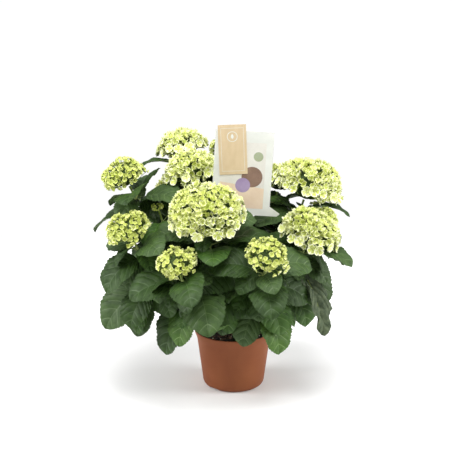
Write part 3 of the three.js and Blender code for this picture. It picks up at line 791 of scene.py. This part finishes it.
def blade_half(share):
    """A blade's half width along its length, as a share of the widest."""
    return np.sin(np.pi * np.clip(share, 0, 1) ** 0.8) ** (0.5 + 0.8 * np.maximum(0, share - 0.82))


def midrib(leaf, share):
    """Places on the midrib, an arc in the leaf's upright plane, with the ways along, across and up."""
    rise, sweep = math.radians(leaf["rise"]), math.radians(leaf["fall"] - leaf["rise"])
    towards, angle = heading(leaf["azimuth"]), rise + sweep * share
    out = leaf["length"] / sweep * (np.sin(angle) - math.sin(rise))
    up = -leaf["length"] / sweep * (np.cos(angle) - math.cos(rise))
    way = towards * np.cos(angle)[:, None] + UP * np.sin(angle)[:, None]
    level, roll = np.cross(UP, towards), math.radians(leaf["roll"])
    side = level * math.cos(roll) + np.cross(way, level) * math.sin(roll)
    return leaf["root"] + towards * out[:, None] + UP * up[:, None], way, side, np.cross(way, side)


SPINDLE = [
    (4 * s + c, 4 * s + (c + 1) % 4, 4 * s + 4 + (c + 1) % 4, 4 * s + 4 + c)
    for s in range(3) for c in range(4)
]
SPINDLE += [(12 + c, 12 + (c + 1) % 4, 16) for c in range(4)] + [(3, 2, 1, 0)]


def room_of(leaf, start, grown):
    """The plain spindle that a leaf keeps to itself, as the places of its corners."""
    stations = np.array((0, 0, 0.34, 0.74, 1))
    spots, _, sides, ups = midrib(leaf, stations)
    spots[0] = start
    corners = []
    for number in range(4):
        narrow = number < 2
        swell = math.sin(math.pi * (0.05 + 0.95 * stations[number]) ** 0.8) ** 0.65
        widest = leaf["length"] * leaf["aspect"] / 2 * swell
        half = LEAF["stalk_radius"] + grown if narrow else widest + grown
        thick = LEAF["stalk_radius"] + grown if narrow else LEAF["thick"] / 2 + grown
        fold = 0 if narrow else half * LEAF["fold"]
        for across, through in ((0, 1), (1, 0), (0, -1), (-1, 0)):
            lift = through * thick + abs(across) * fold
            corners.append(spots[number] + sides[number] * across * half + ups[number] * lift)
    corners.append(spots[4])
    return np.array(corners)


taken = []


def claim(spots, faces):
    """Marks a shape's room as taken."""
    taken.append((BVHTree.FromPolygons([tuple(spot) for spot in spots], faces), spots.min(0), spots.max(0)))


def is_clear(spots):
    """Whether a leaf's room touches nothing that is there already."""
    low, high = spots.min(0), spots.max(0)
    near = [tree for tree, lowest, highest in taken if (low <= highest).all() and (lowest <= high).all()]
    if not near:
        return True
    leaf_tree = BVHTree.FromPolygons([tuple(spot) for spot in spots], SPINDLE)
    return not any(leaf_tree.overlap(tree) for tree in near)


def faces_of(corners, sizes):
    return [tuple(int(corner) for corner in group) for group in np.split(corners, np.cumsum(sizes)[:-1])]


solids = ["pot", "soil", "trunk", "card_board", "card_tag", "card_stake"]
for name in solids + [f"bough_{mass}" for mass in BOUGHS]:
    mesh = nodes[name].data
    spots = np.array([vertex.co for vertex in mesh.vertices]) / MM
    claim(spots, [tuple(face.vertices) for face in mesh.polygons])
for mass in shoots.values():
    for order, shoot in enumerate(mass):
        shares = np.linspace(0, 1, 6)
        spots, ways = along(shoot["curve"], shares)
        foot_radius = SHOOT["foot"] - SHOOT["thinner"] * order
        plain = stem(spots, ways, foot_radius + (SHOOT["tip"] - foot_radius) * shares, 5)
        claim(plain[0], faces_of(plain[1], plain[2]))
for head in HEADS.values():
    radius, height = head.width / 2 + 1.5, head.width / 2 * SQUASH + 1.5
    thin, drop = 3.9, GAP - stalk_drop(head)
    rings = max(4, int(head.width / 22 + 0.5))
    profile = [(0, drop), (thin, drop), (thin, -height * 0.7), (radius * 0.62, -height * 0.5)]
    for ring in range(rings):
        angle = math.radians(106 * (1 - ring / rings))
        profile.append((radius * math.sin(angle), height * math.cos(angle)))
    dome = as_arrays(turned(profile + [(0, height)], 16))
    claim(dome[0] @ head_turn(head).T + head_place(head), faces_of(dome[1], dome[2]))

# The plan of a blade: rows follow the side veins from the midrib to the toothed margin.
VEIN_HALF, VEIN_COLUMNS = 0.005, np.array((-1, -0.68, -0.34, -0.03, 0.03, 0.34, 0.68, 1))
vein_rows, puff, teeth = [0.003], [0.0], [0]
for vein, following in zip(SIDE_VEINS, (*SIDE_VEINS[1:], 0.985)):
    gap = (following - vein) / 3
    vein_rows += [vein - VEIN_HALF, vein + VEIN_HALF, vein + gap, vein + 2 * gap]
    puff += [0, 0, 0.9, 1.0]
    teeth += [0, 1, 0, 1]
vein_rows, puff, teeth = np.array(vein_rows + [0.999]), np.array(puff + [0.0]), np.array(teeth + [0])
last_column, last_row = len(VEIN_COLUMNS) - 1, len(vein_rows) - 1

plan = bmesh.new()
bmesh.ops.create_grid(plan, x_segments=last_column, y_segments=last_row, size=0.5)
for face in plan.faces:
    middle = face.calc_center_median()
    column, row = int((middle.x + 0.5) * last_column), int((middle.y + 0.5) * last_row)
    face.material_index = 1 if column == 3 or row % 4 == 1 else 0
under = bmesh.ops.duplicate(plan, geom=plan.verts[:] + plan.edges[:] + plan.faces[:])["geom"]
under_faces, below = only(bmesh.types.BMFace, under), set(only(bmesh.types.BMVert, under))
bmesh.ops.reverse_faces(plan, faces=under_faces)
for face in under_faces:
    face.material_index += 2
for vertex in plan.verts:
    if abs(abs(vertex.co.x) - 0.5) > 1e-4 and abs(abs(vertex.co.y) - 0.5) > 1e-4:
        vertex.co.z = -1 if vertex in below else 1
bmesh.ops.remove_doubles(plan, verts=plan.verts, dist=1e-4)
blade_plan, blade_corners, blade_sizes, blade_zones = as_arrays(plan)
plan_column = np.round((blade_plan[:, 0] + 0.5) * last_column).astype(int)
plan_row = np.round((blade_plan[:, 1] + 0.5) * last_row).astype(int)
plan_layer = blade_plan[:, 2]
across = VEIN_COLUMNS[plan_column]
margin = vein_rows[plan_row]
start_share = (vein_rows**2.8)[plan_row]


def blade(leaf, tint, crinkle=0.0):
    """One blade as arrays: its rows laid along the side veins, puckered between them and two skins thick."""
    reach = start_share + (margin - start_share) * np.abs(across) ** 1.3
    spots, _, sides, ups = midrib(leaf, reach)
    widest = leaf["length"] * leaf["aspect"] / 2 * 1.04
    at_edge = np.abs(across) > 0.99
    half = widest * blade_half(margin) * np.where(at_edge & (teeth[plan_row] == 0), BLADE["tooth"], 1.0)
    rib = (1.25 - 0.95 * reach) * leaf["length"] / USUAL
    offset = np.where(np.abs(across) < 0.1, np.sign(across) * np.minimum(rib, half), across * half)
    size = leaf["length"] / USUAL
    flat = np.abs(across)
    hollow = np.where(flat < 0.1, -BLADE["hollow"] * size, 0)
    pucker = BLADE["pucker"] * size * puff[plan_row] * np.sin(np.pi * np.clip(flat, 0, 1) ** 0.75)
    phase = reach * BLADE["waves"] + leaf["wave"] + np.sign(across) * 1.3
    wave = BLADE["wave"] * size * np.sin(phase) * flat**2
    height = np.abs(offset) * (0.25 - 0.13 * flat) + hollow + pucker + wave + plan_layer * BLADE["skin"]
    if crinkle:
        creases = [noise.noise(Vector((r * 9, a * 1.7, leaf["wave"]))) for r, a in zip(reach, across)]
        height += crinkle * np.array(creases)
        offset = offset * (1 + 0.5 * np.array([noise.noise(Vector((r * 7, 5, leaf["wave"]))) for r in reach]))
        height += 0.35 * np.abs(offset)
    places = spots + sides * offset[:, None] + ups * height[:, None]
    return places, blade_corners, blade_sizes, np.array(tint)[blade_zones]


# The second of these tones is a painted sheen: the soft gloss of the lamps on a leaf, painted into its
# colour.
LEAF_TONES = {
    "deep": ((37, 56, 23), (54, 77, 33), (60, 84, 40)),
    "painted_sheen": ((51, 70, 38), (68, 90, 48), (78, 100, 56)),
    "mid": ((46, 72, 29), (64, 92, 37), (78, 106, 48)),
    "fresh": ((56, 84, 34), (76, 104, 44), (92, 120, 57)),
}
leaf_finishes = []
for title, (dark, light, vein) in LEAF_TONES.items():
    vein_dark = [part - 8 for part in vein]
    leaf_finishes += [
        finish_of(
            f"leaf_{title}", dark, light, 60, 650, dull=0.64, glossy=0.44, relief=0.6, Specular_IOR_Level=0.25
        ),
        finish_of(f"vein_{title}", vein_dark, vein, 90, 700, dull=0.6, glossy=0.45, relief=0.2),
    ]
leaf_finishes += [
    finish_of("leaf_underside", (88, 112, 70), (110, 132, 88), 70, 700, dull=0.75, glossy=0.6, relief=0.5),
    finish_of("vein_underside", (130, 148, 98), (152, 168, 118), 90, 700, dull=0.7, glossy=0.55, relief=0.2),
    finish_of("leaf_wilted", (52, 66, 46), (84, 96, 66), 90, 500, dull=0.8, glossy=0.6, relief=0.9),
]
UNDERSIDE, VEIN_UNDERSIDE, WILTED = 8, 9, 10  # places in that list; a tone and its veins stand before them

looks = seeded(99)
leaves = {name: [] for name in BOUGHS}


def dress(mass, leaf, start, level, wilted):
    """Adds a leaf's blade to its mass, and its stalk and midrib to the mass's twigs."""
    leaf["wave"] = 6 * looks()
    pick = looks()
    # Only upper leaves get the painted sheen; they are otherwise mostly deep, and lower and skirt leaves
    # mostly fresh and mid.
    if level >= 3:
        tone = 3 if pick < 0.3 else 2 if pick < 0.8 else 0
    else:
        tone = 0 if pick < 0.5 else 1 if pick < 0.9 else 2
    tint = (WILTED,) * 4 if wilted else (2 * tone, 2 * tone + 1, UNDERSIDE, VEIN_UNDERSIDE)
    leaves[mass].append(blade(leaf, tint, BLADE["crinkle"] if wilted else 0.0))
    ribs, ways, _, ups = midrib(leaf, np.array((0.0, 0.04, 0.15, 0.3, 0.5, 0.7)))
    size = leaf["length"] / USUAL
    radii = np.array((1.3, 1.25, 1.2, 1.1, 0.95, 0.75, 0.5)) * size
    drops = np.array((0.2, 0.5, 0.85, 0.9, 0.85, 0.75)) * size
    spots = np.vstack((start, ribs - ups * drops[:, None]))
    first = unit(spots[1] - start)
    curve = np.vstack((start, start + first * LEAF["stalk"] * 0.5 - UP * 0.8, spots[1:]))
    directions = np.vstack((first, first, unit(first + ways[0]), ways[1:]))
    twigs[mass].append(stem(curve, directions, np.r_[radii[0] * 1.35, radii], 6))


def grow_leaf(
    mass, curve, level, azimuth, place, length, rise, fall,
    aspect=LEAF["aspect"], wilted=False, ways=WAYS_ROUND, stalk_length=LEAF["stalk"],
):
    """Grows one leaf in the first place where it touches nothing, if it finds one."""
    start, lean = (found[0] for found in along(curve, place))
    turn, lift, twist = spread(LEAF["wander"]), spread(LEAF["lift"]), spread(LEAF["roll"])
    length = length * (1 + spread(LEAF["sizes"]))
    for more_turn, more_lift, size in ways:
        towards = heading(azimuth + turn + more_turn)
        tipped = lift + more_lift - LEAF["follow"] * math.degrees(math.asin(lean.dot(towards)))
        leaf = {
            "azimuth": azimuth + turn + more_turn,
            "rise": rise + tipped,
            "fall": max(fall + tipped, LEAF["steepest"]),
            "roll": twist - LEAF["roll_follow"] * math.degrees(math.asin(lean.dot(np.cross(UP, towards)))),
            "length": length * size,
            "aspect": aspect,
        }
        upwards = math.radians(0.6 * leaf["rise"])
        stalk = towards * math.cos(upwards) + UP * math.sin(upwards)
        leaf["root"] = start + stalk * stalk_length
        room = room_of(leaf, start + stalk * (SHOOT["foot"] + 3), LEAF["room"])
        if is_clear(room):
            claim(room, SPINDLE)
            dress(mass, leaf, start, level, wilted)
            return


def curve_of(mass, title):
    """The curve of the shoot with this name."""
    return next(shoot["curve"] for shoot in shoots[mass] if shoot["name"] == title)


# One long narrow leaf has wilted and hangs under the right flower head.
grow_leaf("right", curve_of("right", "right"), 2, -30, 0.7, 170, -20, -84, aspect=0.34, wilted=True)
every_shoot = [(name, shoot) for name, mass in shoots.items() for shoot in mass]
for level in range(len(LEAF_LEVELS)):
    for name, shoot in every_shoot:
        if level < len(shoot["levels"]):
            shade = level + (3 if shoot["name"] == "skirt" else 0)
            for half in (0, 180):
                azimuth = shoot["pair"] + 90 * level + half
                grow_leaf(name, shoot["curve"], shade, azimuth, *shoot["levels"][level])

# Larger single leaves fill the middle and sides: on which shoot, where on it, azimuth, length, rise and fall.
SINGLE_LEAVES = (
    ("front", "front", 0.86, 14, 126, 30, -34), ("right", "right", 0.97, 160, 96, 44, -14),
    ("front", "front", 0.9, -170, 110, 24, -40), ("left", "upper_left", 0.93, -35, 100, 16, -46),
    ("upper_left", "middle_left", 0.8, -150, 112, 6, -56), ("left", "bud", 0.86, 150, 96, 30, -30),
    ("left", "side_left", 0.93, 130, 104, 24, -36), ("right", "upper_right", 0.93, -150, 96, 8, -44),
    ("right", "upper_right", 0.88, -50, 108, 0, -50), ("left", "skirt", 0.97, -172, 120, -4, -52),
    ("left", "skirt", 0.86, -148, 124, -16, -66), ("front", "skirt", 0.95, -168, 120, -8, -64),
)
for mass, title, place, azimuth, *bearing in SINGLE_LEAVES:
    grow_leaf(mass, curve_of(mass, title), 0, azimuth, place, *bearing)

# Short side twigs stand in the joints between the leaf pairs, and carry a pair of small young leaves each.
YOUNG = {"levels": (0.9, 0.71, 0.51, 0.31, 0.12), "turn": 40, "length": 54, "grows": 34, "stalk": 10}
YOUNG_TWIG = {"bend": 6, "length": 12, "grows": 10, "radii": (1.7, 1.6, 1.5, 1.4, 1.3)}
draw = seeded(SEED + 1)
for level, place in enumerate(YOUNG["levels"]):
    for name, shoot in every_shoot:
        for half in (0, 180):
            azimuth = shoot["pair"] + 90 * level + half + 45
            start, lean = (found[0] for found in along(shoot["curve"], place))
            out = unit(heading(azimuth) + lean * 1.1)
            end = start + out * (YOUNG_TWIG["length"] + YOUNG_TWIG["grows"] * draw())
            twig = [start, start + out * YOUNG_TWIG["bend"], end]
            before = len(taken)
            for turn in (-YOUNG["turn"], YOUNG["turn"]):
                length = YOUNG["length"] + YOUNG["grows"] * draw()
                rise, fall = 22 - 12 * level, -40 - 8 * level
                if shoot["name"] == "skirt":
                    length, rise, fall = length + 8, 6, -70
                grow_leaf(
                    name, twig, level, azimuth + turn, 1.0, length, rise, fall,
                    stalk_length=YOUNG["stalk"], ways=WAYS_ROUND[:16],
                )
            if len(taken) > before:
                spots, ways = along(twig, np.linspace(0, 1, 5))
                twigs[name].append(stem(spots, ways, YOUNG_TWIG["radii"], 6))

for name in BOUGHS:
    place_parts(f"leaves_{name}", leaves[name], leaf_finishes, [f"foliage_{name}"], crease=75)
    place_parts(f"twigs_{name}", twigs[name], [shoot_green, shoot_base], [f"foliage_{name}"])

# ---- Card --------------------------------------------------------------------------------------------------
# A white board with a printed panel, and a smaller kraft tag before it, ride on a flat green plastic stake
# pushed into the compost. The printing is plain shapes: soft grounds, three discs, and a ruled frame.
CARD = {"x": 19.5, "y": -62, "z": 538, "turn": 3.4, "thick": 1.2}
TAG = {"x": -3, "z": 593, "turn": -2.2, "gap": 0.3, "thick": 0.9}
PANEL = (-51, 51, -82, 72)  # left, right, foot and top
TABLE_TOP = {"left": -22, "right": -34}
DISCS = ((22, -8, 24, 2, 3), (2, -28, 17, 3, 4), (34, 40, 11, 4, 3))  # x, z, radius, ink and layer
TAG_FRAME = {"x": 26, "z": 50, "line": 0.7}
TAG_RING = {"z": 30, "outer": 12, "inner": 10.6}
TAG_LEAF = [(0, -6), (3.2, -1.6), (2.6, 3), (0, 7), (-2.6, 3), (-3.2, -1.6)]
INK_LAYER = 0.06

board_white = finish_of(
    "board_white", (216, 218, 211), (228, 229, 223), 30, 1500, dull=0.6, glossy=0.5, relief=0.04
)
stake_green = finish_of(
    "stake_green", (34, 56, 30), (48, 74, 42), 25, 1200, dull=0.55, glossy=0.4, relief=0.05
)
kraft = finish_of(
    "kraft", (203, 180, 143), (214, 192, 157), 60, 1300,
    dull=0.85, glossy=0.7, relief=0.12, stretch=(1, 1, 0.5),
)
for name, finish in (("card_board", board_white), ("card_stake", stake_green), ("card_tag", kraft)):
    for held in nodes[name].material_slots:
        held.link, held.material = "OBJECT", finish

INK_TONES = {
    "ground": ((214, 211, 203), (226, 223, 215)), "table": ((222, 198, 172), (231, 210, 186)),
    "brown": ((124, 98, 84), (146, 118, 102)), "lilac": ((148, 128, 166), (168, 150, 184)),
    "sage": ((150, 160, 128), (168, 176, 146)),
}
inks = [
    finish_of(f"ink_{title}", *tones, 40, 900, dull=0.6, glossy=0.45, relief=0.02)
    for title, tones in INK_TONES.items()
]


def printed(shape, outline, layer, ink, card, front):
    """A flat area of ink on a card, in the card's own plane and facing the front."""
    turn = Matrix.Rotation(math.radians(card["turn"]), 3, "Y")
    corner = Vector((card["x"], front - INK_LAYER * layer, card["z"]))
    face = shape.faces.new([shape.verts.new(turn @ Vector((x, 0, z)) + corner) for x, z in outline])
    face.material_index = ink
    face.normal_update()
    if face.normal.y > 0:
        face.normal_flip()


def disc(x, z, radius, steps=40):
    turns = [math.tau * n / steps for n in range(steps)]
    return [(x + radius * math.cos(turn), z + radius * math.sin(turn)) for turn in turns]


def upright(left, right, foot, top):
    return [(left, foot), (right, foot), (right, top), (left, top)]


picture = bmesh.new()
front = CARD["y"] - CARD["thick"] / 2
left, right, foot, top = PANEL
printed(picture, upright(*PANEL), 1, 0, CARD, front)
table = [(left, foot), (right, foot), (right, TABLE_TOP["right"]), (left, TABLE_TOP["left"])]
printed(picture, table, 2, 1, CARD, front)
for x, z, radius, ink, layer in DISCS:
    printed(picture, disc(x, z, radius), layer, ink, CARD, front)
place_piece("card_picture", mesh_of("card_picture", picture), inks)

tag_lines = bmesh.new()
front = front - TAG["gap"] - TAG["thick"]
printed(tag_lines, disc(0, TAG_RING["z"], TAG_RING["outer"]), 1, 1, TAG, front)
printed(tag_lines, disc(0, TAG_RING["z"], TAG_RING["inner"]), 2, 0, TAG, front)
x, z, line = TAG_FRAME["x"], TAG_FRAME["z"], TAG_FRAME["line"]
for left in (-x, x - line):
    printed(tag_lines, upright(left, left + line, -z, z), 1, 1, TAG, front)
for foot in (-z, z - line):
    printed(tag_lines, upright(-x, x, foot, foot + line), 1, 1, TAG, front)
printed(tag_lines, [(x, z + TAG_RING["z"]) for x, z in TAG_LEAF], 3, 1, TAG, front)
place_piece("tag_lines", mesh_of("tag_lines", tag_lines), [kraft, board_white])

# ---- Studio ------------------------------------------------------------------------------------------------
# A plain white floor and a bright even surround, with broad soft lights from the left, the right and above.
# The camera stands a little over two and a half metres away and looks slightly down.
FLOOR = {"radius": 1500, "white": 0.94, "dull": 0.9}
SURROUND = {"lights": 0.5, "shows": 1.02}
LAMPS = {
    "key": ((-2.7, -0.45, 1.6), 1.3, 74),
    "fill": ((2.7, -0.35, 1.4), 1.3, 62),
    "top": ((0.1, -0.9, 3.0), 1.8, 92),
}  # place, width and watts
LIT_POINT = Vector((0, 0, 0.3))
CAMERA = {"place": (-0.016, -2.765, 1.165), "pitch": 74.4, "lens": 96.3, "sensor": 36}

floor_shape = bmesh.new()
bmesh.ops.create_circle(floor_shape, cap_ends=True, segments=128, radius=FLOOR["radius"])
floor = in_scene("floor", mesh_of("floor", floor_shape))
floor_finish = bpy.data.materials.new("studio_floor")
floor_finish.use_nodes = True
floor_coat = floor_finish.node_tree.nodes["Principled BSDF"].inputs
floor_coat["Base Color"].default_value = (FLOOR["white"], FLOOR["white"], FLOOR["white"], 1)
floor_coat["Roughness"].default_value = FLOOR["dull"]
floor.data.materials.append(floor_finish)

world = bpy.data.worlds.new("studio")
world.use_nodes = True
surround = world.node_tree
lit = surround.nodes["Background"]
kinds = ("Background", "MixShader", "LightPath")
seen, either, ray = (surround.nodes.new(f"ShaderNode{kind}") for kind in kinds)
lit.inputs["Strength"].default_value = SURROUND["lights"]
seen.inputs["Strength"].default_value = SURROUND["shows"]
lit.inputs["Color"].default_value = seen.inputs["Color"].default_value = (1, 1, 1, 1)
for source, output, target, socket in (
    (ray, "Is Camera Ray", either, "Fac"), (lit, "Background", either, 1), (seen, "Background", either, 2),
    (either, "Shader", surround.nodes["World Output"], "Surface"),
):
    surround.links.new(source.outputs[output], target.inputs[socket])
bpy.context.scene.world = world

for name, (place, size, watts) in LAMPS.items():
    lamp = bpy.data.lights.new(name, "AREA")
    lamp.size, lamp.energy = size, watts
    light = in_scene(name, lamp)
    light.location = place
    light.rotation_euler = (LIT_POINT - Vector(place)).to_track_quat("-Z", "Y").to_euler()

lens = bpy.data.cameras.new("camera")
lens.lens, lens.sensor_width, lens.clip_end = CAMERA["lens"], CAMERA["sensor"], 100
camera = in_scene("camera", lens)
camera.location = CAMERA["place"]
camera.rotation_euler = (math.radians(CAMERA["pitch"]), 0, 0)
bpy.context.scene.camera = camera
bpy.context.scene.view_settings.view_transform = "Standard"
